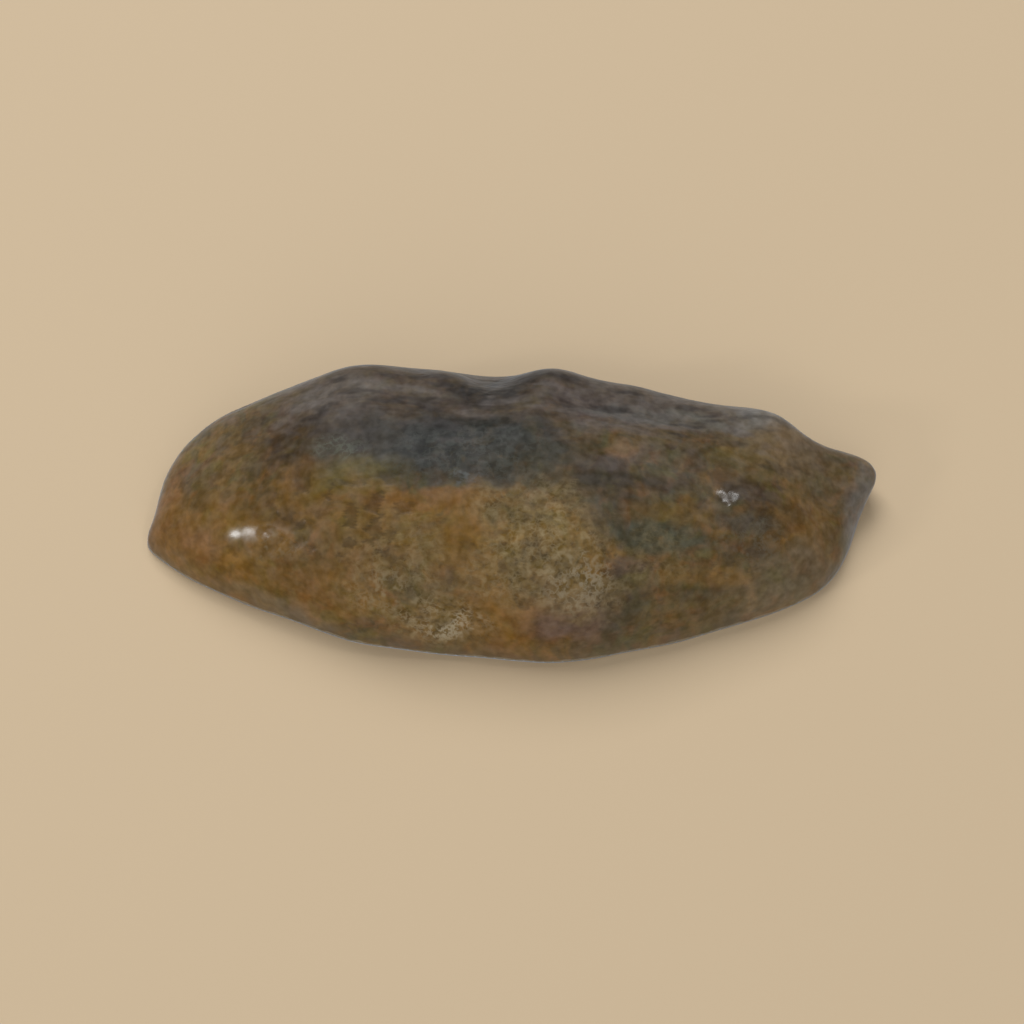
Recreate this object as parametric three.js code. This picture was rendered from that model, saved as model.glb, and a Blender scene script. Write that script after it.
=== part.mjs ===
// Agate end cut: the outer piece sawn off a weathered agate nodule, lying on its sawn face, rind up.
// It is one stone, so it is one solid: a lumpy dome of natural rind over one flat sawn face.
// Millimetres, +Z up. The origin is the middle of the footprint's box, on the sawn face.
// +X runs along the stone towards its blunt nose, and the flank that swells most faces -Y.
import * as THREE from "three";
import { ImprovedNoise } from "three/addons/math/ImprovedNoise.js";

// Driving dimensions: the stone's box.
const LENGTH = 86;
const WIDTH = 38;
const HEIGHT = 15.8;

// Places on the stone are shares of these: -1 to 1 along and across, 0 on the sawn face to 1 at the crest.
const HALF_LENGTH = LENGTH / 2;
const HALF_WIDTH = WIDTH / 2;
function place(along, across, up) {
  return new THREE.Vector3(along * HALF_LENGTH, across * HALF_WIDTH, up * HEIGHT);
}

// The sawn edge seen from above, anticlockwise from the left tip: [along, across].
const SAWN_EDGE = [
  [-0.981, -0.162],
  [-0.919, -0.35],
  [-0.739, -0.582],
  [-0.43, -0.858],
  [-0.187, -0.951],
  [0.089, -0.993],
  [0.35, -0.908],
  [0.607, -0.717],
  [0.815, -0.485],
  [0.905, -0.201],
  [0.931, 0.121],
  [0.895, 0.391],
  [0.701, 0.601],
  [0.423, 0.816],
  [0.05, 0.92],
  [-0.336, 0.983],
  [-0.672, 0.853],
  [-0.89, 0.607],
  [-0.979, 0.252],
];

// The dome: the point of the plan under its middle, and its fullness. An ellipse's is 1, and less is fuller.
const CROWN = [-0.02, 0.0];
const FLANK_FULLNESS = 0.86;
const CROWN_FULLNESS = 0.92;

// How high the crest stands along the stone, as a share of HEIGHT: [along, share].
const CREST_LINE = [
  [-1.0, 0.78],
  [-0.45, 1.0],
  [0.1, 1.0],
  [0.6, 0.88],
  [0.85, 0.81],
  [1.0, 0.76],
];

// Swellings and hollows of the rind: the line they run along or the place they spread from, and in mm how far
// they reach and how far they stand out. They stand straight out of the rind, or the way that they say.
const ALONG = new THREE.Vector3(1, 0, 0);
const LUMPS = [
  { name: "left shoulder", from: place(-0.43, 0.62, 0.76), reach: 6, rise: 1.45 },
  { name: "left shoulder end", from: place(-0.19, 0.64, 0.78), reach: 2.8, rise: 0.55 },
  { name: "middle knob", from: place(0.09, 0.64, 0.76), reach: 4.2, rise: 1.45 },
  { name: "saddle", from: place(-0.1, 0.7, 0.74), reach: 4, rise: -0.65 },
  { name: "saddle trough", from: place(-0.1, 0.62, 0.8), to: place(-0.08, 0.3, 0.95), reach: 5.5, rise: -0.6 },
  { name: "far ridge swell", from: place(0.32, 0.66, 0.7), reach: 3, rise: 0.4 },
  { name: "right shoulder", from: place(0.68, 0.46, 0.58), reach: 5.5, rise: 1.85 },
  { name: "right notch", from: place(0.8, 0.44, 0.4), reach: 3.2, rise: -0.9 },
  { name: "blunt nose", from: place(0.89, 0.27, 0.34), reach: 4.8, rise: 4.4, towards: ALONG },
  { name: "nose hollow", from: place(0.9, -0.06, 0.14), reach: 3, rise: -0.4, towards: ALONG },
  { name: "left tip", from: place(-0.97, -0.16, 0), reach: 2.3, rise: -1.1, towards: ALONG },
  { name: "left furrow", from: place(-0.55, 0.5, 0.8), to: place(-0.2, 0.4, 0.9), reach: 2.2, rise: -0.5 },
  { name: "right furrow", from: place(0.16, 0.4, 0.9), to: place(0.58, 0.3, 0.8), reach: 3, rise: -0.7 },
  { name: "front dent", from: place(-0.2, -0.9, 0.4), to: place(-0.1, -0.9, 0.3), reach: 2.2, rise: -0.7 },
  { name: "flank dent", from: place(0.8, -0.1, 0.4), to: place(0.84, 0.1, 0.4), reach: 2.4, rise: -0.55 },
];

// The uneven growth of the rind between the lumps: [wavelength, depth] in mm.
const UNEVENNESS = [
  [17, 0.55],
  [7.5, 0.28],
];
const noise = new ImprovedNoise();

// Facets: rings from the crown to the sawn edge. The first ring has SECTORS corners, and each one outwards
// has SECTORS more.
const RINGS = 30;
const SECTORS = 6;

const sawnEdge = new THREE.CatmullRomCurve3(
  SAWN_EDGE.map(([along, across]) => place(along, across, 0)),
  true,
  "centripetal",
);
sawnEdge.arcLengthDivisions = 1200;

function crestShare(along) {
  const next = CREST_LINE.findIndex(([at]) => at > along);
  if (next === 0) return CREST_LINE[0][1];
  if (next < 0) return CREST_LINE.at(-1)[1];
  const [from, low] = CREST_LINE[next - 1];
  const [to, high] = CREST_LINE[next];
  return THREE.MathUtils.lerp(low, high, THREE.MathUtils.smoothstep(along, from, to));
}

// Where the lumps and the unevenness carry a point of the smooth dome.
function swollen(point, outwards) {
  const moved = point.clone();
  for (const { from, to = from, reach, rise, towards = outwards } of LUMPS) {
    const nearest = new THREE.Line3(from, to).closestPointToPoint(point, true, new THREE.Vector3());
    moved.addScaledVector(towards, rise * Math.exp(-((point.distanceTo(nearest) / reach) ** 2)));
  }
  for (const [wavelength, depth] of UNEVENNESS) {
    const at = point.clone().divideScalar(wavelength);
    moved.addScaledVector(outwards, depth * noise.noise(at.x, at.y, at.z));
  }
  return moved;
}

// The point of the rind at a turn of 0 to 1 along the sawn edge, and a climb from 0 at the edge to 1 at
// the crown.
function rindPoint(turn, climb) {
  const edge = sawnEdge.getPointAt(turn);
  const crown = place(...CROWN, 0);
  const angle = (climb * Math.PI) / 2;
  const point = crown.clone().lerp(edge, Math.cos(angle) ** FLANK_FULLNESS);
  const fromCrown = point.clone().sub(crown);
  point.z = HEIGHT * crestShare(point.x / HALF_LENGTH) * Math.sin(angle) ** CROWN_FULLNESS;
  const outwards = new THREE.Vector3(
    fromCrown.x / HALF_LENGTH ** 2,
    fromCrown.y / HALF_WIDTH ** 2,
    point.z / HEIGHT ** 2,
  ).normalize();
  return swollen(point, outwards);
}

// The rind as rings of triangles round the crown, and the sawn face that closes it underneath.
function endCutGeometry() {
  const points = [rindPoint(0, 1)];
  const faces = [];
  let innerStart = 0;
  for (let ring = 1; ring <= RINGS; ring++) {
    const outerStart = points.length;
    const outerCount = SECTORS * ring;
    const innerCount = Math.max(1, SECTORS * (ring - 1));
    for (let step = 0; step < outerCount; step++)
      points.push(rindPoint(step / outerCount, 1 - ring / RINGS));
    const outer = (step) => outerStart + (step % outerCount);
    const inner = (step) => innerStart + (step % innerCount);
    for (let sector = 0; sector < SECTORS; sector++)
      for (let step = 0; step < ring; step++) {
        const a = sector * ring + step;
        const b = sector * (ring - 1) + step;
        faces.push(inner(b), outer(a), outer(a + 1));
        if (step < ring - 1) faces.push(inner(b), outer(a + 1), inner(b + 1));
      }
    innerStart = outerStart;
  }
  const rim = points.slice(innerStart);
  for (const [a, b, c] of THREE.ShapeUtils.triangulateShape(rim, []))
    faces.push(innerStart + a, innerStart + c, innerStart + b);
  const geometry = new THREE.BufferGeometry().setFromPoints(points).setIndex(faces);
  return fittedToBox(geometry);
}

// Brings the stone to its driving dimensions, and centres its footprint on the origin.
function fittedToBox(geometry) {
  geometry.computeBoundingBox();
  const size = geometry.boundingBox.getSize(new THREE.Vector3());
  const middle = geometry.boundingBox.getCenter(new THREE.Vector3());
  geometry.translate(-middle.x, -middle.y, 0);
  geometry.scale(LENGTH / size.x, WIDTH / size.y, HEIGHT / size.z);
  geometry.computeVertexNormals();
  return geometry;
}

const rind = new THREE.MeshStandardMaterial({ color: 0x6b5238, roughness: 0.45, metalness: 0 });
const stone = new THREE.Mesh(endCutGeometry(), rind);
stone.name = "agate_end_cut";

const part = new THREE.Group();
part.add(stone);
export default part;
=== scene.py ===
import math

import bmesh
import bpy
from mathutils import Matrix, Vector


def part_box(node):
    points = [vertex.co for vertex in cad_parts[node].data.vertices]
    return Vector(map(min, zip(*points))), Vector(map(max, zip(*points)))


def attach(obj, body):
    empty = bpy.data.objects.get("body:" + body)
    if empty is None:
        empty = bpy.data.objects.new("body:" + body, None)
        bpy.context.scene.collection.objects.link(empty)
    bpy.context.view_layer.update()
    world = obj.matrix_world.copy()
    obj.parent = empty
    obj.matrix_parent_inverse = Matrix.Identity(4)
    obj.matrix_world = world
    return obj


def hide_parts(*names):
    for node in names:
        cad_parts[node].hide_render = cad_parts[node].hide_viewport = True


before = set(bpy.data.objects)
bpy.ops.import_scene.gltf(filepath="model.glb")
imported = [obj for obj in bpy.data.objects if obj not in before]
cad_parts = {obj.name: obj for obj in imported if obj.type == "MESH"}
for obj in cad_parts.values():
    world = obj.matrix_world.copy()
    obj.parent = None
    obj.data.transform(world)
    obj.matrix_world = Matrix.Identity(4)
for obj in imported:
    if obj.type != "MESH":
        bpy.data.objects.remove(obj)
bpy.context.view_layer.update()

# --- The stone's body ---------------------------------------------------------------------------------------
# The end of an agate nodule, sawn off in one cut and rested on the cut. It is one piece of stone. Its fine
# surface is built over the solid: a smooth skin first, with the sawn face laid in rings inside the sawn edge.

MM = 0.001
# Corners that are closer together than this are one corner.
SAME_PLACE = 0.001 * MM
# The rings of the sawn face, as shares of the way out from its middle to its edge.
SAWN_RINGS = (0.86, 0.72, 0.58, 0.44, 0.3, 0.15)
SKIN_LEVELS = 2
# How many times the skin is fitted to the solid's corners.
FITTINGS = 3

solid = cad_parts["agate_end_cut"]
foot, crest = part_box("agate_end_cut")
length, width, height = crest - foot


def spot(along, across, up):
    """A place on the stone: -1 to 1 along and across it, and 0 on the sawn face to 1 at the crest."""
    return Vector((along * length / 2, across * width / 2, up * height))


def sawn_rim(skin):
    """The corners of the open sawn edge, in order."""
    edge = next(e for e in skin.edges if e.is_boundary)
    rim = [edge.verts[0]]
    while True:
        corner = edge.other_vert(rim[-1])
        if corner is rim[0]:
            return rim
        rim.append(corner)
        edge = next(e for e in corner.link_edges if e.is_boundary and e is not edge)


def lay_sawn_face(skin, crease):
    """Closes the sawn edge with a flat face of rings, and keeps the edge sharp."""
    rim = sawn_rim(skin)
    middle = sum((corner.co for corner in rim), Vector()) / len(rim)
    outer = rim
    for share in SAWN_RINGS:
        inner = [skin.verts.new(middle + (corner.co - middle) * share) for corner in rim]
        for i in range(len(rim)):
            after = (i + 1) % len(rim)
            skin.faces.new((outer[i], outer[after], inner[after], inner[i]))
        outer = inner
    skin.faces.new(outer)
    for edge in skin.edges:
        if edge.verts[0] in rim and edge.verts[1] in rim:
            edge[crease] = 1.0


skin = bmesh.new()
skin.from_mesh(solid.data)
bmesh.ops.remove_doubles(skin, verts=skin.verts, dist=SAME_PLACE)
under = [face for face in skin.faces if max(corner.co.z for corner in face.verts) < SAME_PLACE]
bmesh.ops.delete(skin, geom=under, context="FACES")
lay_sawn_face(skin, skin.edges.layers.float.new("crease_edge"))
bmesh.ops.recalc_face_normals(skin, faces=skin.faces)
for face in skin.faces:
    face.smooth = True
stone_mesh = bpy.data.meshes.new("agate_end_cut_skin")
skin.to_mesh(stone_mesh)
skin.free()
stone = bpy.data.objects.new("agate_end_cut_skin", stone_mesh)
bpy.context.scene.collection.objects.link(stone)
smooth = stone.modifiers.new("smooth", "SUBSURF")
smooth.levels = SKIN_LEVELS
smooth.render_levels = SKIN_LEVELS
smooth.use_limit_surface = False


def built(holder):
    """The object's mesh with its modifiers applied."""
    depsgraph = bpy.context.evaluated_depsgraph_get()
    return bpy.data.meshes.new_from_object(holder.evaluated_get(depsgraph), depsgraph=depsgraph)


# Smoothing draws the skin inwards, so its corners are moved out until it passes through the solid's corners.
wanted = [corner.co.copy() for corner in stone_mesh.vertices]
for _ in range(FITTINGS):
    smoothed = built(stone)
    for corner, place, now in zip(stone_mesh.vertices, wanted, smoothed.vertices):
        corner.co += place - now.co
    bpy.data.meshes.remove(smoothed)


# --- The rind's relief --------------------------------------------------------------------------------------
# The rind weathered while the nodule lay in the ground: it swells and sinks a little, is pitted where softer
# grains fell out, streaked along the far shoulder, and carries patches of gritty pale crust.

# Every size, spacing, depth and reach here is in mm.
SWELL_SIZE = 4.6
SWELL_DEPTH = 0.14
STREAK_SIZE = 2.2
STREAK_DEPTH = 0.12
# Streaks are drawn out along the stone: the share of their length that is their width.
DRAWN = (0.36, 1.0, 1.0)
# Where across the stone the streaks start and are full.
STREAKS_ACROSS = (-3.0, 5.0)
PIT_SPACING = 2.3
PIT_DEPTH = 0.16
FINE_PIT_SPACING = 1.15
FINE_PIT_DEPTH = 0.09
# The widest pits' reach, and how far from a pit's middle its floor ends, as shares of the spacing.
PIT_REACHES = (0.13, 0.22)
PIT_FLOOR = 0.02
# The crust's ridges of grit. Their width is a share of their noise.
RIDGE_SIZE = 0.95
RIDGE_HEIGHT = 0.06
RIDGE_WIDTH = 0.16
# How high above the sawn edge the relief is at its full depth.
EDGE_FADE = 0.9
# The pitted patches, and the gritty crust's patches: middle, reach and strength.
PITTED = [
    (spot(-0.42, -0.4, 0.8), (12.0, 7.5, 6.0), 1.0),
    (spot(0.1, -0.7, 0.7), (14.0, 8.0, 7.0), 0.8),
    (spot(0.6, -0.45, 0.6), (11.0, 7.0, 6.0), 0.6),
]
CRUSTS = [
    (spot(0.08, -0.63, 0.8), (7.0, 7.5, 6.5), 1.0),
    (spot(-0.04, -0.4, 0.93), (4.0, 2.6, 3.0), 0.6),
    (spot(-0.2, -0.89, 0.36), (6.0, 4.0, 4.0), 1.0),
    (spot(-0.3, -0.66, 0.68), (6.0, 6.0, 6.0), 0.5),
    (spot(-0.36, -0.78, 0.5), (4.5, 4.0, 4.0), 0.5),
    (spot(0.16, -0.82, 0.6), (5.5, 3.6, 3.8), 0.9),
    (spot(-0.05, -0.76, 0.68), (4.5, 3.6, 3.6), 0.7),
    (spot(0.38, -0.6, 0.66), (5.0, 4.0, 4.0), 0.35),
]
# A patch starts and is full at these shares of its reach.
PATCH_EDGE = (1.35, 0.4)
# How ragged the edges of the patches are, and the size of the rags.
PIT_RAGS = (1.4, 4.0)
CRUST_RAGS = (1.1, 2.6)
# The clouds of pits outside the patches: size, where in their noise they start and are full, and strength.
STRAY_PITS = (7.0, 0.5, 0.7, 0.5)
# The sawn rim is the edge that turns more than this, in radians. Steps that even out the way in from it.
RIM_TURN = 0.8
RIM_STEPS = 30
# The sawn face is all that lies lower than this and whose normal points down more than this.
SAWN_BELOW = 0.01
SAWN_DOWN = -0.9


def node(tree, kind, inputs=None, **settings):
    """A node of the tree, with its settings made and its inputs set or joined."""
    made = tree.nodes.new(kind)
    for name, value in settings.items():
        setattr(made, name, value)
    for name, value in (inputs or {}).items():
        socket = made.inputs[name]
        if isinstance(value, bpy.types.NodeSocket):
            tree.links.new(value, socket)
        else:
            socket.default_value = value
    return made


def sums(tree, operation, *values):
    """The result of one sum of the tree."""
    return node(tree, "ShaderNodeMath", dict(enumerate(values)), operation=operation).outputs[0]


def times(tree, first, *others):
    """The values multiplied together."""
    for other in others:
        first = sums(tree, "MULTIPLY", first, other)
    return first


def largest(tree, first, *others):
    """The largest of the values."""
    for other in others:
        first = sums(tree, "MAXIMUM", first, other)
    return first


def vectors(tree, operation, *values):
    """The result of one vector sum of the tree."""
    made = node(tree, "ShaderNodeVectorMath", dict(enumerate(values)), operation=operation)
    return made.outputs["Value" if operation == "LENGTH" else "Vector"]


def scaled(tree, vector, share):
    """The vector made longer or shorter."""
    return node(tree, "ShaderNodeVectorMath", {0: vector, "Scale": share}, operation="SCALE").outputs[0]


def slope(tree, value, start, end, low=0.0, high=1.0):
    """A soft step of the value, from low at start to high at end."""
    ends = {"Value": value, "From Min": start, "From Max": end, "To Min": low, "To Max": high}
    return node(tree, "ShaderNodeMapRange", ends, interpolation_type="SMOOTHSTEP").outputs["Result"]


def grit(tree, place, size, detail=3.0, roughness=0.55):
    """Even noise whose grains are about size across, from 0 to 1."""
    settings = {"Vector": place, "Scale": 1 / size, "Detail": detail, "Roughness": roughness}
    return node(tree, "ShaderNodeTexNoise", settings).outputs[0]


def ridges(tree, place, size, width, roughness=0.55):
    """Thin lines that wander between the grains of noise."""
    wander = sums(tree, "SUBTRACT", grit(tree, place, size, 2.0, roughness), 0.5)
    return slope(tree, sums(tree, "ABSOLUTE", wander), width, 0.0)


def away_from(tree, place, middle, reach):
    """How far a place is from a middle, as a share of the reach."""
    away = vectors(tree, "DIVIDE", vectors(tree, "SUBTRACT", place, middle / MM), reach)
    return vectors(tree, "LENGTH", away)


def patches(tree, place, kinds, rags):
    """Where the patches lie, with ragged edges: their strength inside and 0 outside."""
    ragged, size = rags
    torn = times(tree, sums(tree, "SUBTRACT", grit(tree, place, size), 0.5), ragged)
    masks = []
    for middle, reach, strength in kinds:
        away = sums(tree, "ADD", away_from(tree, place, middle, reach), torn)
        masks.append(slope(tree, away, *PATCH_EDGE, 0.0, strength))
    return largest(tree, *masks)


def rise_of_rind(tree, place, given):
    """How far the rind stands out, and where its pits, its crust and its crust's ridges are."""
    split = node(tree, "ShaderNodeSeparateXYZ", {0: place}).outputs
    swell = sums(tree, "SUBTRACT", grit(tree, place, SWELL_SIZE, 3.5), 0.5)
    rise = times(tree, swell, given["Swell Depth"])
    drawn = vectors(tree, "MULTIPLY", place, DRAWN)
    streaks = sums(tree, "SUBTRACT", grit(tree, drawn, STREAK_SIZE), 0.5)
    far = slope(tree, split["Y"], *STREAKS_ACROSS)
    rise = sums(tree, "ADD", rise, times(tree, streaks, far, given["Streak Depth"]))

    clouds, start, full, strength = STRAY_PITS
    stray = slope(tree, grit(tree, place, clouds, 2.0), start, full, 0.0, strength)
    wear = largest(tree, patches(tree, place, PITTED, PIT_RAGS), stray)
    pits = []
    for kind, share in zip(("Pit", "Fine Pit"), PIT_REACHES):
        per = sums(tree, "DIVIDE", 1.0, given[f"{kind} Spacing"])
        cells = node(tree, "ShaderNodeTexVoronoi", {"Vector": place, "Scale": per}).outputs
        size = node(tree, "ShaderNodeSeparateXYZ", {0: cells["Color"]}).outputs[0]
        pit = times(tree, slope(tree, cells["Distance"], times(tree, size, share), PIT_FLOOR), wear)
        rise = sums(tree, "SUBTRACT", rise, times(tree, pit, given[f"{kind} Depth"]))
        pits.append(pit)

    crust = patches(tree, place, CRUSTS, CRUST_RAGS)
    grains = ridges(tree, place, RIDGE_SIZE, RIDGE_WIDTH)
    rise = sums(tree, "ADD", rise, times(tree, grains, crust, given["Ridge Height"]))
    rise = times(tree, rise, slope(tree, split["Z"], 0.0, given["Edge Fade"]))
    return rise, {"pit": largest(tree, *pits), "crust": crust, "ridges": grains}


def way_in_from_rim(tree, skin):
    """How far each corner is from the sawn rim, evened out."""
    turn = tree.nodes.new("GeometryNodeInputMeshEdgeAngle").outputs["Unsigned Angle"]
    sharp = node(tree, "FunctionNodeCompare", {0: turn, 1: RIM_TURN}, operation="GREATER_THAN").outputs[0]
    rim = node(tree, "GeometryNodeSeparateGeometry", {0: skin, 1: sharp}, domain="EDGE").outputs[0]
    near = node(tree, "GeometryNodeProximity", {0: rim}, target_element="EDGES").outputs["Distance"]
    return node(tree, "GeometryNodeBlurAttribute", {"Value": near, "Iterations": RIM_STEPS}).outputs[0]


def weathered_rind():
    """The tree that weathers the smooth skin, and measures the sawn face inwards from its edge."""
    tree = bpy.data.node_groups.new("weathered_rind", "GeometryNodeTree")
    face = tree.interface
    face.new_socket("Stone", in_out="INPUT", socket_type="NodeSocketGeometry")
    sizes = {
        "Swell Depth": SWELL_DEPTH,
        "Streak Depth": STREAK_DEPTH,
        "Pit Spacing": PIT_SPACING,
        "Pit Depth": PIT_DEPTH,
        "Fine Pit Spacing": FINE_PIT_SPACING,
        "Fine Pit Depth": FINE_PIT_DEPTH,
        "Ridge Height": RIDGE_HEIGHT,
        "Edge Fade": EDGE_FADE,
    }
    sockets = {}
    for name in sizes:
        sockets[name] = face.new_socket(name, in_out="INPUT", socket_type="NodeSocketFloat")
    for name in ("Rind", "Sawn"):
        sockets[name] = face.new_socket(name, in_out="INPUT", socket_type="NodeSocketMaterial")
    face.new_socket("Stone", in_out="OUTPUT", socket_type="NodeSocketGeometry")
    given = tree.nodes.new("NodeGroupInput").outputs
    place = scaled(tree, tree.nodes.new("GeometryNodeInputPosition").outputs[0], 1 / MM)
    normal = tree.nodes.new("GeometryNodeInputNormal").outputs[0]

    rise, kept = rise_of_rind(tree, place, given)
    kept["inward"] = way_in_from_rim(tree, given["Stone"])
    shaped = given["Stone"]
    for name, value in kept.items():
        stored = {"Geometry": shaped, "Name": name, "Value": value}
        shaped = node(tree, "GeometryNodeStoreNamedAttribute", stored, data_type="FLOAT").outputs[0]
    push = scaled(tree, scaled(tree, normal, rise), MM)
    shaped = node(tree, "GeometryNodeSetPosition", {"Geometry": shaped, "Offset": push}).outputs[0]
    shaped = node(tree, "GeometryNodeRealizeInstances", {0: shaped}).outputs[0]

    masks = []
    for vector, limit in ((place, SAWN_BELOW), (normal, SAWN_DOWN)):
        up = node(tree, "ShaderNodeSeparateXYZ", {0: vector}).outputs["Z"]
        masks.append(node(tree, "FunctionNodeCompare", {0: up, 1: limit}, operation="LESS_THAN").outputs[0])
    sawn = node(tree, "FunctionNodeBooleanMath", dict(enumerate(masks)), operation="AND").outputs[0]
    everywhere = {"Geometry": shaped, "Material": given["Rind"]}
    shaped = node(tree, "GeometryNodeSetMaterial", everywhere).outputs[0]
    underneath = {"Geometry": shaped, "Selection": sawn, "Material": given["Sawn"]}
    shaped = node(tree, "GeometryNodeSetMaterial", underneath).outputs[0]
    end = tree.nodes.new("NodeGroupOutput")
    tree.links.new(shaped, end.inputs[0])
    return tree, sockets, sizes


# --- The rind's finish --------------------------------------------------------------------------------------
# Iron-stained chalcedony: brown and ochre below, purple-grey on the far shoulder, with slate and green-grey
# stains, tan crust and a dull, slightly oily gloss. Every size and reach here is in mm.
# Some stains are painted light: painted sheen near the skyline and on the right end, painted shade on the far
# shoulder.

def paint(red, green, blue):
    """A colour of 0 to 255 values, in the linear light that the shaders use."""
    return tuple(((c / 255 + 0.055) / 1.055) ** 2.4 for c in (red, green, blue)) + (1.0,)


GROUND = paint(98, 79, 45)
# The mottling: colour, size, where in its noise it starts and is full, strength, and how much of it is on the
# front flank and on the far shoulder.
MOTTLES = [
    ("umber", paint(78, 61, 38), 5.2, 0.42, 0.64, 0.65, 0.8, 1.0),
    ("ochre", paint(130, 97, 46), 4.4, 0.44, 0.66, 0.72, 1.0, 0.1),
    ("olive", paint(94, 88, 44), 3.1, 0.46, 0.68, 0.65, 1.0, 0.5),
    ("mauve", paint(98, 80, 72), 2.7, 0.48, 0.7, 0.52, 0.8, 1.0),
    ("rust", paint(126, 82, 44), 2.2, 0.48, 0.7, 0.46, 1.0, 0.4),
    ("moss", paint(66, 70, 52), 1.7, 0.48, 0.7, 0.4, 1.0, 0.8),
    ("soot", paint(52, 44, 34), 1.1, 0.52, 0.74, 0.3, 1.0, 1.0),
]
# Each kind of mottling has its own place in the noise, this far from the last one's.
MOTTLE_SHIFT = Vector((31.0, 17.0, 7.0))
# The mottling and the stains are torn in two steps, the streaks sway, and their stains are torn a little:
# the size, the reach and the detail of the tears.
TEARS = ((7.0, 6.0, 2.0), (1.8, 0.9, 1.0))
SWAY = (8.0, 2.4, 2.0)
STREAK_TEAR = (1.4, 0.7, 1.0)
# Nearly all of a noise lies between these.
MOST_NOISE = (0.3, 0.7)
# Where the far shoulder's colours start and are full: across, up and along the stone from either end. Across,
# the edge wanders with a size and a reach, and the other edges leave FAR_REST of the colours outside.
FAR_ACROSS = (-6.0, 5.0)
WANDER = (9.0, 4.0)
FAR_UP = (1.0, 9.0)
FAR_ALONG = ((-36.0, -22.0), (36.0, 27.0))
FAR_REST = 0.3
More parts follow.
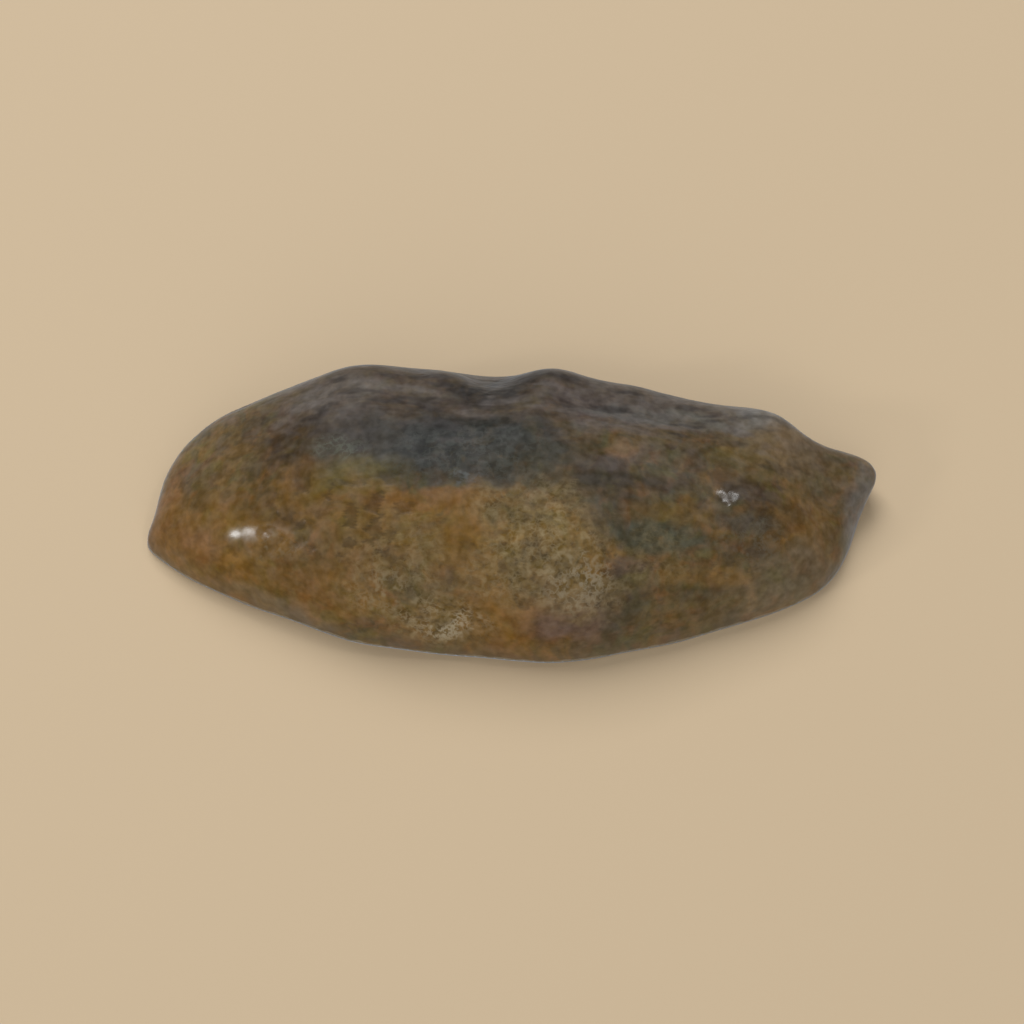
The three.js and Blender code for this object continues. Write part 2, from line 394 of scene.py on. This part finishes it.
# The stains, a few of them painted sheen or painted shade: middle, reach, strength and colour.
STAINS = [
    ("ochre left end", spot(-0.85, -0.4, 0.35), (12, 7, 8), 0.55, paint(134, 97, 40)),
    ("rust on the left tip", spot(-0.95, 0.0, 0.22), (4, 6, 4), 0.6, paint(124, 84, 40)),
    ("pink blush", spot(-0.83, -0.33, 0.33), (3.5, 2.5, 3), 0.4, paint(136, 96, 66)),
    ("pale left foot", spot(-0.62, -0.68, 0.1), (8, 5, 2), 0.45, paint(122, 106, 84)),
    ("mauve left knot", spot(-0.36, -0.62, 0.7), (3, 1, 2), 0.5, paint(84, 66, 60)),
    ("tan left shoulder", spot(-0.8, 0.1, 0.6), (8, 6, 6), 0.25, paint(106, 84, 56)),
    ("tan left middle", spot(-0.52, -0.45, 0.68), (9, 4.5, 4), 0.45, paint(120, 92, 54)),
    ("brown left middle", spot(-0.62, -0.26, 0.75), (8, 3, 4), 0.45, paint(80, 60, 30)),
    ("brown left shoulder", spot(-0.54, 0.14, 0.86), (10, 5, 5), 0.75, paint(60, 46, 30)),
    ("ochre left crest", spot(-0.54, -0.16, 0.85), (4, 3, 3), 0.5, paint(124, 90, 46)),
    # The far shoulder's purple-grey colour, darkened further as painted shade of the slope that faces away
    # from the light.
    ("purple far shoulder and painted shade", spot(-0.1, 0.6, 0.9), (36, 9.5, 8), 0.65, paint(70, 61, 57)),
    # Painted sheen: a light grey band along the far left skyline, where the rind turns away.
    ("painted sheen on the left shoulder", spot(-0.48, 0.5, 0.86), (6, 3, 3.5), 0.5, paint(104, 98, 92)),
    ("mauve far middle", spot(0.24, 0.4, 0.87), (7, 4.4, 4), 0.3, paint(94, 85, 86)),
    # Painted sheen: a grey band along the right far shoulder, below the skyline.
    ("painted sheen on the right shoulder", spot(0.5, 0.46, 0.7), (15, 4, 6), 0.6, paint(92, 84, 78)),
    # Painted sheen: a thin pale band in the furrow behind the right crest.
    ("painted sheen in the trough", spot(0.42, 0.37, 0.76), (13, 1.5, 3.5), 0.35, paint(98, 100, 94)),
    # Painted sheen: a pale grey rim on the right shoulder near the skyline.
    ("painted sheen on the right skyline", spot(0.69, 0.46, 0.61), (4.5, 2.8, 3), 0.6, paint(124, 122, 118)),
    ("brown right shoulder", spot(0.74, 0.21, 0.62), (6, 4, 4), 0.75, paint(122, 101, 74)),
    ("dark streak on the crest", spot(-0.24, 0.16, 0.96), (12, 3.2, 4), 0.7, paint(42, 36, 31)),
    # Painted shade: darkens the concave saddle on the far shoulder, where the rear lamp would light it.
    ("painted shade in the saddle", spot(-0.05, 0.6, 0.82), (6, 5, 4), 0.9, paint(37, 34, 31)),
    ("dark knob", spot(0.1, 0.72, 0.78), (6, 2.8, 4), 0.4, paint(50, 46, 46)),
    ("slate stain", spot(-0.12, 0.0, 1.0), (14, 5, 5), 0.9, paint(23, 26, 20)),
    ("dark left crest", spot(-0.4, 0.04, 0.95), (6, 3, 3), 0.65, paint(50, 43, 32)),
    ("dark slate", spot(-0.24, 0.0, 0.98), (5.5, 3, 3), 0.6, paint(24, 26, 24)),
    ("slate tail", spot(0.14, -0.14, 0.95), (8, 3.4, 4), 0.6, paint(46, 42, 24)),
    ("green-grey fleck", spot(-0.47, 0.02, 0.9), (2.5, 1.4, 2.5), 0.15, paint(76, 80, 62)),
    ("olive left patch", spot(-0.4, -0.16, 0.9), (5.5, 3, 3), 0.65, paint(92, 80, 30)),
    ("ochre left middle", spot(-0.38, -0.34, 0.87), (4.5, 3, 3), 0.35, paint(126, 93, 46)),
    ("ochre middle", spot(-0.12, -0.58, 0.82), (3.6, 5.5, 5), 0.65, paint(130, 96, 45)),
    ("ochre under the slate", spot(-0.3, -0.56, 0.78), (9, 4.5, 4), 0.4, paint(110, 80, 34)),
    ("grey right crest", spot(0.4, -0.02, 0.87), (5, 3.6, 3), 0.35, paint(88, 83, 80)),
    ("ochre low middle", spot(-0.06, -0.75, 0.68), (3.4, 3, 3), 0.55, paint(136, 97, 47)),
    ("ochre front left", spot(-0.5, -0.7, 0.42), (7, 2.5, 4), 0.5, paint(138, 100, 54)),
    ("tan front", spot(0.08, -0.86, 0.44), (6, 3, 3), 0.35, paint(140, 116, 84)),
    ("ochre front", spot(0.0, -0.95, 0.35), (8, 3.5, 5), 0.6, paint(136, 95, 42)),
    ("mauve foot", spot(0.17, -0.92, 0.38), (5, 3.4, 4), 0.75, paint(102, 84, 76)),
    ("dark foot", spot(0.3, -0.91, 0.28), (3, 3, 3.5), 0.45, paint(66, 68, 60)),
    ("dark right foot", spot(0.27, -0.83, 0.52), (3.5, 2.8, 3), 0.55, paint(74, 65, 54)),
    ("dark middle", spot(0.27, -0.24, 0.9), (6, 3.4, 3), 0.55, paint(58, 52, 44)),
    ("brown right flank", spot(0.63, -0.5, 0.58), (4.5, 3.5, 3.5), 0.5, paint(80, 64, 44)),
    ("ochre right end", spot(0.8, -0.3, 0.42), (6, 5, 5), 0.5, paint(122, 89, 44)),
    ("brown right end", spot(0.7, -0.28, 0.6), (3.5, 2.5, 3), 0.5, paint(80, 62, 42)),
    ("olive right patch", spot(0.62, 0.05, 0.72), (4, 3, 3), 0.45, paint(100, 84, 46)),
    ("grey-brown right middle", spot(0.54, -0.16, 0.74), (6.5, 4.5, 3), 0.55, paint(74, 65, 52)),
    ("dark knot", spot(0.62, -0.18, 0.68), (3.2, 2.2, 3), 0.6, paint(54, 44, 40)),
    ("brown nose", spot(0.88, 0.2, 0.4), (5, 6, 4), 0.5, paint(98, 83, 66)),
    # Painted sheen: a bluish-grey band on the steep right end, where the rind turns under.
    ("painted sheen on the right end", spot(0.96, -0.05, 0.2), (3.5, 7.5, 4), 0.68, paint(126, 123, 120)),
    # Painted sheen: lightens the lower right flank towards grey.
    ("painted sheen on the right foot", spot(0.72, -0.55, 0.25), (11, 5, 4), 0.5, paint(126, 113, 92)),
    ("olive front foot", spot(0.48, -0.8, 0.3), (8, 3.5, 4), 0.4, paint(108, 92, 62)),
    ("rust dot", spot(0.275, 0.0, 0.915), (1.6, 1.4, 2), 0.5, paint(134, 100, 74)),
    ("pale mauve dot", spot(0.24, -0.1, 0.93), (2.8, 1.2, 2), 0.3, paint(102, 92, 94)),
]
# The stains that are drawn out level along the stone, with crisper edges, in the same terms.
STREAKED_STAINS = [
    ("rust band", spot(-0.19, -0.34, 0.92), (9.5, 1.2, 2.5), 0.7, paint(122, 84, 42)),
    ("green-grey band", spot(0.37, -0.5, 0.72), (7, 1.9, 3), 0.8, paint(62, 70, 62)),
    ("dark right band", spot(0.3, -0.2, 0.9), (6.5, 0.9, 2.5), 0.5, paint(54, 48, 44)),
    ("ochre right band", spot(0.42, -0.36, 0.8), (5.5, 1.1, 2.5), 0.45, paint(118, 90, 48)),
    ("ochre right streak", spot(0.56, -0.65, 0.48), (4.2, 1.1, 2), 0.6, paint(130, 98, 48)),
    ("grey-brown band", spot(0.23, -0.42, 0.86), (3, 2.2, 3), 0.5, paint(78, 74, 66)),
    ("dark knot band", spot(0.6, -0.34, 0.66), (4, 1.2, 2.2), 0.5, paint(62, 58, 54)),
    ("mauve band", spot(0.3, -0.66, 0.65), (3, 0.9, 2), 0.5, paint(88, 70, 68)),
    ("dark streak under it", spot(0.5, -0.74, 0.4), (5.5, 0.8, 1.6), 0.4, paint(66, 58, 48)),
]
# A stain starts and is full at these shares of its reach.
STAIN_EDGE = (1.35, 0.55)
# The stains are broken up: the size of the breaks, where in their noise they end, what is left of a stain in
# them, and a shift that keeps them off the mottling.
STAIN_BREAKS = (2.1, 0.36, 0.56, 0.7)
BREAKS_SHIFT = (5.0, 50.0, 0.0)
# The far shoulder's streaks: where in their noise they start and are full, strength and colour.
STREAK_TINTS = [
    ("dark", 0.5, 0.34, 0.6, paint(46, 41, 39)),
    ("light", 0.52, 0.7, 0.4, paint(106, 98, 94)),
]
# The light and dark of the grain, the fine grain and the clouds: size, how far from its middle each noise has
# its full effect, and how far it swings the colour.
GRAIN = (1.15, 0.25, 0.11)
FINE_GRAIN = (0.5, 0.3, 0.1)
CLOUDS = (2.6, 0.2, 0.1)
# How much light the grain adds to the rind or takes from it.
DUST = 0.01
# The crust's ground, and what lies in it: strength and colour.
CRUST_TINT = (0.55, paint(121, 98, 54))
DARK_GRITS = (0.45, paint(60, 50, 36))
CRUST_RIDGES = (0.25, paint(146, 128, 94))
CRUST_VEINS = (0.3, paint(156, 140, 106))
LIGHT_GRITS = (0.32, paint(164, 148, 114))
GRIT_SIZE = 1.0
# The part of a ridge's height that shows as its crest.
RIDGE_CRESTS = (0.4, 1.0)
# The veins that net the crust: how far apart they run, how wide they are in their noise, and a shift that
# keeps them off the ridges. They come in patches: size, and where in their noise they start and are full.
VEIN_SIZE = 0.9
VEIN_WIDTH = 0.1
VEIN_SHIFT = (9.0, 4.0, 2.0)
VEIN_PATCHES = (2.4, 0.35, 0.6)
# The shadow in the pits: its strength on bare rind and on crust, and its colour.
PIT_SHADOW = (0.4, 0.2, paint(44, 36, 26))
# Pale specks in the rind: middle, reach and colour.
SPECKS = [
    (spot(-0.16, -0.88, 0.32), (4.8, 2.0, 2.4), paint(196, 186, 164)),
    (spot(0.18, -0.74, 0.68), (3.6, 3.0, 3.0), paint(152, 140, 118)),
    (spot(-0.13, -0.21, 0.97), (3.0, 1.3, 2.0), paint(110, 114, 116)),
    (spot(-0.12, -0.02, 1.0), (12.0, 5.0, 4.0), paint(74, 77, 70)),
    (spot(0.18, -0.8, 0.62), (4.0, 3.4, 3.4), paint(140, 130, 112)),
    (spot(-0.47, 0.03, 0.9), (3.0, 1.5, 2.4), paint(102, 108, 92)),
    (spot(-0.3, -0.78, 0.5), (5.0, 3.0, 3.2), paint(146, 134, 108)),
    (spot(0.62, -0.45, 0.55), (5.0, 3.0, 4.0), paint(104, 98, 84)),
    (spot(-0.62, -0.45, 0.5), (3.5, 1.6, 3.0), paint(132, 124, 104)),
]
# The specks start and are full at these shares of their reach.
SPECK_EDGE = (1.4, 0.3)
# How much of the light grits and of the veins shows as specks.
SPECKED = (0.4, 0.35)
# The paler dusty foot and the bare sawn rim: how high up the rind they end and are full, strength and colour.
DUSTY_FOOT = (5.0, 0.0, 0.25, paint(142, 130, 110))
# The pale rim line is partly bare stone and partly a painted highlight where the sawn edge catches the light.
BARE_EDGE_AND_HIGHLIGHT = (1.0, 0.8, 0.7, paint(150, 140, 122))
# The size of the rags in their upper edges.
FOOT_RAGS = 2.0
# The finest relief, as bump: its depth and its strength.
FINE_RELIEF = (0.08, 0.4)
# The gloss wanders between these roughnesses, in clouds of this size, and the crust is duller.
ROUGHNESS = (0.38, 0.5)
GLOSS_SIZE = 3.0
CRUST_DULLNESS = 0.15
# Two knobs are worn to glossy dots: middle and reach.
WORN = [
    (spot(-0.742, -0.37, 0.51), 0.8),
    (spot(-0.695, -0.375, 0.535), 0.85),
    (spot(-0.655, -0.4, 0.56), 0.35),
    (spot(0.552, -0.19, 0.74), 0.4),
    (spot(0.582, -0.2, 0.72), 0.45),
    (spot(0.567, -0.225, 0.725), 0.4),
]
# A dot's gloss starts and is full at these shares of its reach, and its edge is torn: size, reach and detail.
WORN_EDGE = (2.2, 0.5)
SCUFF = (0.6, 0.9, 1.0)
# How strong the glossy coat is over the rind, and over the dots.
COAT = (0.04, 0.9)
# Where in the grain's noise its dark flecks and its light flecks start and are full.
DARK_FLECK = (0.52, 0.32)
LIGHT_FLECK = (0.52, 0.72)


def over(tree, mask, base, colour):
    """The base with the colour laid over it as far as the mask says."""
    made = node(tree, "ShaderNodeMix", {0: mask}, data_type="RGBA")
    for socket, value in ((made.inputs[6], base), (made.inputs[7], colour)):
        if isinstance(value, bpy.types.NodeSocket):
            tree.links.new(value, socket)
        else:
            socket.default_value = value
    return made.outputs[2]


def grey(tree, value):
    """The value as red, green and blue alike."""
    return node(tree, "ShaderNodeCombineXYZ", {0: value, 1: value, 2: value}).outputs[0]


def stone_grain():
    """Shared by the rind and the sawn face: fine grain, as dark and light flecks and as height."""
    tree = bpy.data.node_groups.new("stone_grain", "ShaderNodeTree")
    tree.interface.new_socket("Place", in_out="INPUT", socket_type="NodeSocketVector")
    tree.interface.new_socket("Size", in_out="INPUT", socket_type="NodeSocketFloat")
    for name in ("Dark", "Light", "Height"):
        tree.interface.new_socket(name, in_out="OUTPUT", socket_type="NodeSocketFloat")
    given = tree.nodes.new("NodeGroupInput").outputs
    end = tree.nodes.new("NodeGroupOutput").inputs
    per = sums(tree, "DIVIDE", 1.0, given["Size"])
    settings = {"Vector": given["Place"], "Scale": per, "Detail": 1.5, "Roughness": 0.5}
    fine = node(tree, "ShaderNodeTexNoise", settings).outputs[0]
    tree.links.new(slope(tree, fine, *DARK_FLECK), end["Dark"])
    tree.links.new(slope(tree, fine, *LIGHT_FLECK), end["Light"])
    tree.links.new(fine, end["Height"])
    return tree


GRAIN_GROUP = stone_grain()


def grain(tree, place, size):
    """The dark flecks, the light flecks and the height of stone grain of a size in mm."""
    made = node(tree, "ShaderNodeGroup", node_tree=GRAIN_GROUP)
    tree.links.new(place, made.inputs["Place"])
    made.inputs["Size"].default_value = size
    return made.outputs


def millimetres(tree):
    """Object coordinates in mm."""
    given = tree.nodes.new("ShaderNodeTexCoord").outputs["Object"]
    return node(tree, "ShaderNodeMapping", {0: given, "Scale": (1 / MM,) * 3}).outputs[0]


def kept_on_skin(tree, name):
    """What the weathering kept on the skin under a name."""
    return node(tree, "ShaderNodeAttribute", attribute_name=name).outputs["Fac"]


def warped(tree, place, size, reach, detail):
    """The place moved about by noise, which tears the edges of what is laid there."""
    settings = {"Vector": place, "Scale": 1 / size, "Detail": detail, "Roughness": 0.6}
    noise = node(tree, "ShaderNodeTexNoise", settings).outputs["Color"]
    shift = vectors(tree, "SUBTRACT", noise, (0.5, 0.5, 0.5))
    return vectors(tree, "ADD", place, vectors(tree, "MULTIPLY", shift, (reach, reach, reach)))


def far_shoulder(tree, place, torn):
    """How far a place belongs to the far shoulder, from 0 to 1."""
    at = node(tree, "ShaderNodeSeparateXYZ", {0: torn}).outputs
    size, reach = WANDER
    wander = slope(tree, grit(tree, place, size, 2.0), *MOST_NOISE, -reach, reach)
    far = slope(tree, sums(tree, "ADD", at["Y"], wander), *FAR_ACROSS)
    far = times(tree, far, slope(tree, at["Z"], *FAR_UP, FAR_REST, 1.0))
    for start, full in FAR_ALONG:
        far = times(tree, far, slope(tree, at["X"], start, full, FAR_REST, 1.0))
    return far


def stained(tree, place, torn):
    """The mottling of the rind, with its stains and streaks."""
    far = far_shoulder(tree, place, torn)
    colour = GROUND
    for turn, (_, tint, size, start, full, strength, front_share, far_share) in enumerate(MOTTLES):
        here = vectors(tree, "ADD", torn, MOTTLE_SHIFT * turn)
        mask = slope(tree, grit(tree, here, size, 2.0, 0.5), start, full, 0.0, strength)
        share = slope(tree, far, 0.0, 1.0, front_share, far_share)
        colour = over(tree, times(tree, mask, share), colour, tint)
    swayed = warped(tree, place, *SWAY)
    size, start, full, left = STAIN_BREAKS
    broken = slope(tree, grit(tree, vectors(tree, "ADD", torn, BREAKS_SHIFT), size), start, full, left, 1.0)
    for stains, within in ((STAINS, torn), (STREAKED_STAINS, warped(tree, swayed, *STREAK_TEAR))):
        for _, middle, reach, strength, tint in stains:
            mask = slope(tree, away_from(tree, within, middle, reach), *STAIN_EDGE, 0.0, strength)
            colour = over(tree, times(tree, mask, broken), colour, tint)
    streak = grit(tree, vectors(tree, "MULTIPLY", swayed, DRAWN), STREAK_SIZE, 2.0, 0.5)
    for _, start, full, strength, tint in STREAK_TINTS:
        mask = slope(tree, streak, start, full, 0.0, strength)
        colour = over(tree, times(tree, mask, far), colour, tint)
    return colour


def shaded(tree, place, torn, height, colour):
    """The colour with the light and dark of the grain, whose height is given, and of the clouds."""
    fine = grain(tree, place, FINE_GRAIN[0])["Height"]
    clouds = grit(tree, torn, CLOUDS[0], 2.0)
    shades = []
    for noise, (_, reach, swing) in ((height, GRAIN), (fine, FINE_GRAIN), (clouds, CLOUDS)):
        shades.append(slope(tree, noise, 0.5 - reach, 0.5 + reach, 1 - swing, 1 + swing))
    dust = slope(tree, height, 0.5 - GRAIN[1], 0.5 + GRAIN[1], -DUST, DUST)
    return vectors(tree, "MULTIPLY_ADD", colour, grey(tree, times(tree, *shades)), grey(tree, dust))


def gritted(tree, place, torn, crust, colour):
    """The colour with what lies in the crust, the pits and the pale specks over it."""
    dark, light, _ = grain(tree, place, GRIT_SIZE)
    crests = slope(tree, kept_on_skin(tree, "ridges"), *RIDGE_CRESTS)
    size, start, full = VEIN_PATCHES
    here = slope(tree, grit(tree, place, size, 1.0), start, full)
    beside = vectors(tree, "ADD", place, VEIN_SHIFT)
    vein = times(tree, ridges(tree, beside, VEIN_SIZE, VEIN_WIDTH, 0.6), here)
    kinds = ((dark, DARK_GRITS), (crests, CRUST_RIDGES), (vein, CRUST_VEINS), (light, LIGHT_GRITS))
    for mask, (strength, tint) in kinds:
        colour = over(tree, times(tree, mask, crust, strength), colour, tint)
    bare, covered, tint = PIT_SHADOW
    shadow = times(tree, kept_on_skin(tree, "pit"), slope(tree, crust, 0.0, 1.0, bare, covered))
    colour = over(tree, shadow, colour, tint)
    fleck = largest(tree, times(tree, light, SPECKED[0]), times(tree, vein, SPECKED[1]))
    for middle, reach, tint in SPECKS:
        near = slope(tree, away_from(tree, torn, middle, reach), *SPECK_EDGE)
        colour = over(tree, times(tree, near, fleck), colour, tint)
    return colour


def footed(tree, place, colour):
    """The colour with the dusty foot, and the bare sawn rim that is partly a painted highlight."""
    low = node(tree, "ShaderNodeSeparateXYZ", {0: place}).outputs["Z"]
    low = sums(tree, "ADD", low, grit(tree, place, FOOT_RAGS))
    for top, full, strength, tint in (DUSTY_FOOT, BARE_EDGE_AND_HIGHLIGHT):
        colour = over(tree, slope(tree, low, top, full, 0.0, strength), colour, tint)
    return colour


def rind_finish():
    """The material of the weathered rind."""
    material = bpy.data.materials.new("weathered_rind")
    material.use_nodes = True
    tree = material.node_tree
    tree.nodes.clear()
    place = millimetres(tree)
    torn = warped(tree, warped(tree, place, *TEARS[0]), *TEARS[1])
    height = grain(tree, place, GRAIN[0])["Height"]
    crust = kept_on_skin(tree, "crust")
    colour = stained(tree, place, torn)
    colour = over(tree, times(tree, crust, CRUST_TINT[0]), colour, CRUST_TINT[1])
    colour = shaded(tree, place, torn, height, colour)
    colour = gritted(tree, place, torn, crust, colour)
    colour = footed(tree, place, colour)

    depth, strength = FINE_RELIEF
    bump = {"Height": height, "Distance": depth * MM, "Strength": strength}
    rough = slope(tree, grit(tree, place, GLOSS_SIZE), *MOST_NOISE, *ROUGHNESS)
    rough = sums(tree, "ADD", rough, times(tree, crust, CRUST_DULLNESS))
    scuffed = warped(tree, place, *SCUFF)
    dots = []
    for middle, reach in WORN:
        dots.append(slope(tree, away_from(tree, scuffed, middle, (reach,) * 3), *WORN_EDGE))
    shader = node(
        tree,
        "ShaderNodeBsdfPrincipled",
        {
            "Base Color": colour,
            "Roughness": rough,
            "Normal": node(tree, "ShaderNodeBump", bump).outputs[0],
            "Coat Weight": slope(tree, largest(tree, *dots), 0.0, 1.0, *COAT),
            "Coat Roughness": 0.2,
            "Specular IOR Level": 0.12,
            "Sheen Weight": 0.8,
            "Sheen Roughness": 0.3,
            "Sheen Tint": paint(188, 206, 226),
        },
    )
    end = tree.nodes.new("ShaderNodeOutputMaterial")
    tree.links.new(shader.outputs[0], end.inputs[0])
    return material


# --- The sawn face's finish ---------------------------------------------------------------------------------
# The cut through the agate, ground and polished: bands of white, grey and honey chalcedony that follow the
# nodule's wall inwards, with a thin brown skin at the edge.

# The bands: how far in from the edge each colour is, in mm.
BANDS = [
    (0.0, paint(70, 52, 36)),
    (0.6, paint(96, 70, 44)),
    (0.9, paint(150, 120, 84)),
    (1.5, paint(120, 104, 88)),
    (2.1, paint(196, 186, 168)),
    (2.6, paint(126, 118, 110)),
    (3.6, paint(150, 144, 136)),
    (4.2, paint(206, 198, 184)),
    (4.6, paint(138, 112, 82)),
    (5.8, paint(120, 116, 112)),
    (7.2, paint(168, 164, 158)),
    (7.8, paint(116, 112, 108)),
    (10.5, paint(136, 134, 130)),
    (12.0, paint(182, 178, 170)),
    (13.0, paint(148, 146, 142)),
]
BAND_SPAN = 20.0
# The bands wander: the size of it in mm, how far they do at most, and how far in from the edge they do so.
BAND_WANDER = (9.0, 5.0, 6.0)
# The hair lines between the bands: how far apart they run in mm, strength and colour, and how far in they end
# and are full. They come in patches: size, and where in their noise they start and are full.
HAIR_LINES = (0.55, 0.3, paint(216, 208, 194))
HAIR_LINES_IN = (11.0, 5.0)
HAIR_PATCHES = (6.0, 0.4, 0.65)
# The polished stone's grain: size in mm, and the strength and colour of its dark and its light flecks.
SAWN_GRAIN = 0.8
SAWN_DARK = (0.25, paint(92, 84, 76))
SAWN_LIGHT = (0.2, paint(214, 208, 198))


def sawn_finish():
    """The material of the polished sawn face."""
    material = bpy.data.materials.new("polished_agate")
    material.use_nodes = True
    tree = material.node_tree
    tree.nodes.clear()
    place = millimetres(tree)
    depth = sums(tree, "DIVIDE", kept_on_skin(tree, "inward"), MM)
    size, most, inside = BAND_WANDER
    wander = sums(tree, "SUBTRACT", grit(tree, place, size), 0.5)
    wander = times(tree, wander, slope(tree, depth, 0.0, inside, 0.0, most))
    depth = sums(tree, "ADD", depth, wander)
    ramp = node(tree, "ShaderNodeValToRGB", {0: sums(tree, "DIVIDE", depth, BAND_SPAN)})
    stops = ramp.color_ramp.elements
    while len(stops) > 1:
        stops.remove(stops[-1])
    stops[0].position = 0.0
    stops[0].color = BANDS[0][1]
    for at, tint in BANDS[1:]:
        stops.new(at / BAND_SPAN).color = tint
    colour = ramp.outputs[0]
    apart, strength, tint = HAIR_LINES
    lines = sums(tree, "SINE", times(tree, depth, math.tau / apart))
    size, start, full = HAIR_PATCHES
    here = slope(tree, grit(tree, place, size, 2.0), start, full, 0.0, strength)
    here = times(tree, here, slope(tree, depth, *HAIR_LINES_IN))
    colour = over(tree, times(tree, slope(tree, lines, 0.0, 1.0), here), colour, tint)
    dark, light, _ = grain(tree, place, SAWN_GRAIN)
    for mask, (strength, tint) in ((dark, SAWN_DARK), (light, SAWN_LIGHT)):
        colour = over(tree, times(tree, mask, strength), colour, tint)
    shader = node(
        tree,
        "ShaderNodeBsdfPrincipled",
        {"Base Color": colour, "Roughness": 0.16, "Coat Weight": 0.5, "Coat Roughness": 0.05},
    )
    end = tree.nodes.new("ShaderNodeOutputMaterial")
    tree.links.new(shader.outputs[0], end.inputs[0])
    return material


# --- The finished stone -------------------------------------------------------------------------------------
# The skin is weathered and given its two finishes, the rind's above and the sawn face's below. It stands for
# the whole solid.

weathering, sockets, sizes = weathered_rind()
weather = stone.modifiers.new("weathering", "NODES")
weather.node_group = weathering
for name, size in sizes.items():
    weather[sockets[name].identifier] = size
weather[sockets["Rind"].identifier] = rind_finish()
weather[sockets["Sawn"].identifier] = sawn_finish()
weathered = built(stone)
stone.modifiers.clear()
stone.data = weathered
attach(stone, "root")
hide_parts("agate_end_cut")


# --- The setting --------------------------------------------------------------------------------------------
# A plain pale floor under the stone, soft studio light, and two small lamps that glint on the rind.

FLOOR_SIDE = 2.0
# The floor lies this far under the stone, so that the two don't touch.
FLOOR_GAP = 0.02 * MM
PALE_FLOOR = paint(208, 184, 150)
# The lamps: what they light, which way and how far off they stand in metres, the side of their square, power.
LAMPS = [
    ("key_soft", spot(0, 0, 0.4), (-0.2, 0.65, 0.95), 0.8, 9.0),
    ("front_soft", spot(0, 0, 0.4), (0.05, -1.25, 0.5), 1.5, 9.0),
    ("left_glint", spot(-0.73, -0.36, 0.5), (-0.4, -0.19, 0.23), 0.06, 0.36),
    ("right_glint", spot(0.57, -0.2, 0.72), (0.235, 0.105, 0.43), 0.03, 0.13),
]
# The light from all round: colour and strength.
SKY = ((0.9, 0.95, 1.0, 1.0), 0.26)
# The camera looks down on the stone's flank: its lens in mm, how steeply it looks, what it looks at, and how
# many of the stone's lengths away it stands.
LENS = 85.0
LOOK_DOWN = math.radians(55)
LOOKED_AT = spot(-0.002, -0.079, 0.316)
LENGTHS_AWAY = 3.272


def plain(name, tint, roughness):
    """A material of one colour and one roughness."""
    material = bpy.data.materials.new(name)
    material.use_nodes = True
    shader = material.node_tree.nodes["Principled BSDF"]
    shader.inputs["Base Color"].default_value = tint
    shader.inputs["Roughness"].default_value = roughness
    return material


floor_mesh = bpy.data.meshes.new("floor")
side = FLOOR_SIDE / 2
corners = [(-side, -side, 0), (side, -side, 0), (side, side, 0), (-side, side, 0)]
floor_mesh.from_pydata(corners, [], [(0, 1, 2, 3)])
floor_mesh.materials.append(plain("pale_floor", PALE_FLOOR, 0.7))
floor = bpy.data.objects.new("floor", floor_mesh)
floor.location.z = foot.z - FLOOR_GAP
bpy.context.scene.collection.objects.link(floor)


def stand(name, data, place, aim):
    """Puts a lamp or the camera at a place, turned to its aim."""
    holder = bpy.data.objects.new(name, data)
    holder.location = place
    holder.rotation_euler = (aim - place).to_track_quat("-Z", "Y").to_euler()
    bpy.context.scene.collection.objects.link(holder)
    return holder


for name, aim, away, square, power in LAMPS:
    light = bpy.data.lights.new(name, "AREA")
    light.size = square
    light.energy = power
    stand(name, light, aim + Vector(away), aim)

world = bpy.data.worlds.new("studio")
world.use_nodes = True
background = world.node_tree.nodes["Background"].inputs
background["Color"].default_value, background["Strength"].default_value = SKY
bpy.context.scene.world = world

away = LENGTHS_AWAY * length * Vector((0, -math.cos(LOOK_DOWN), math.sin(LOOK_DOWN)))
camera_data = bpy.data.cameras.new("camera")
camera_data.lens = LENS
bpy.context.scene.camera = stand("camera", camera_data, LOOKED_AT + away, LOOKED_AT)
bpy.context.scene.view_settings.view_transform = "Standard"
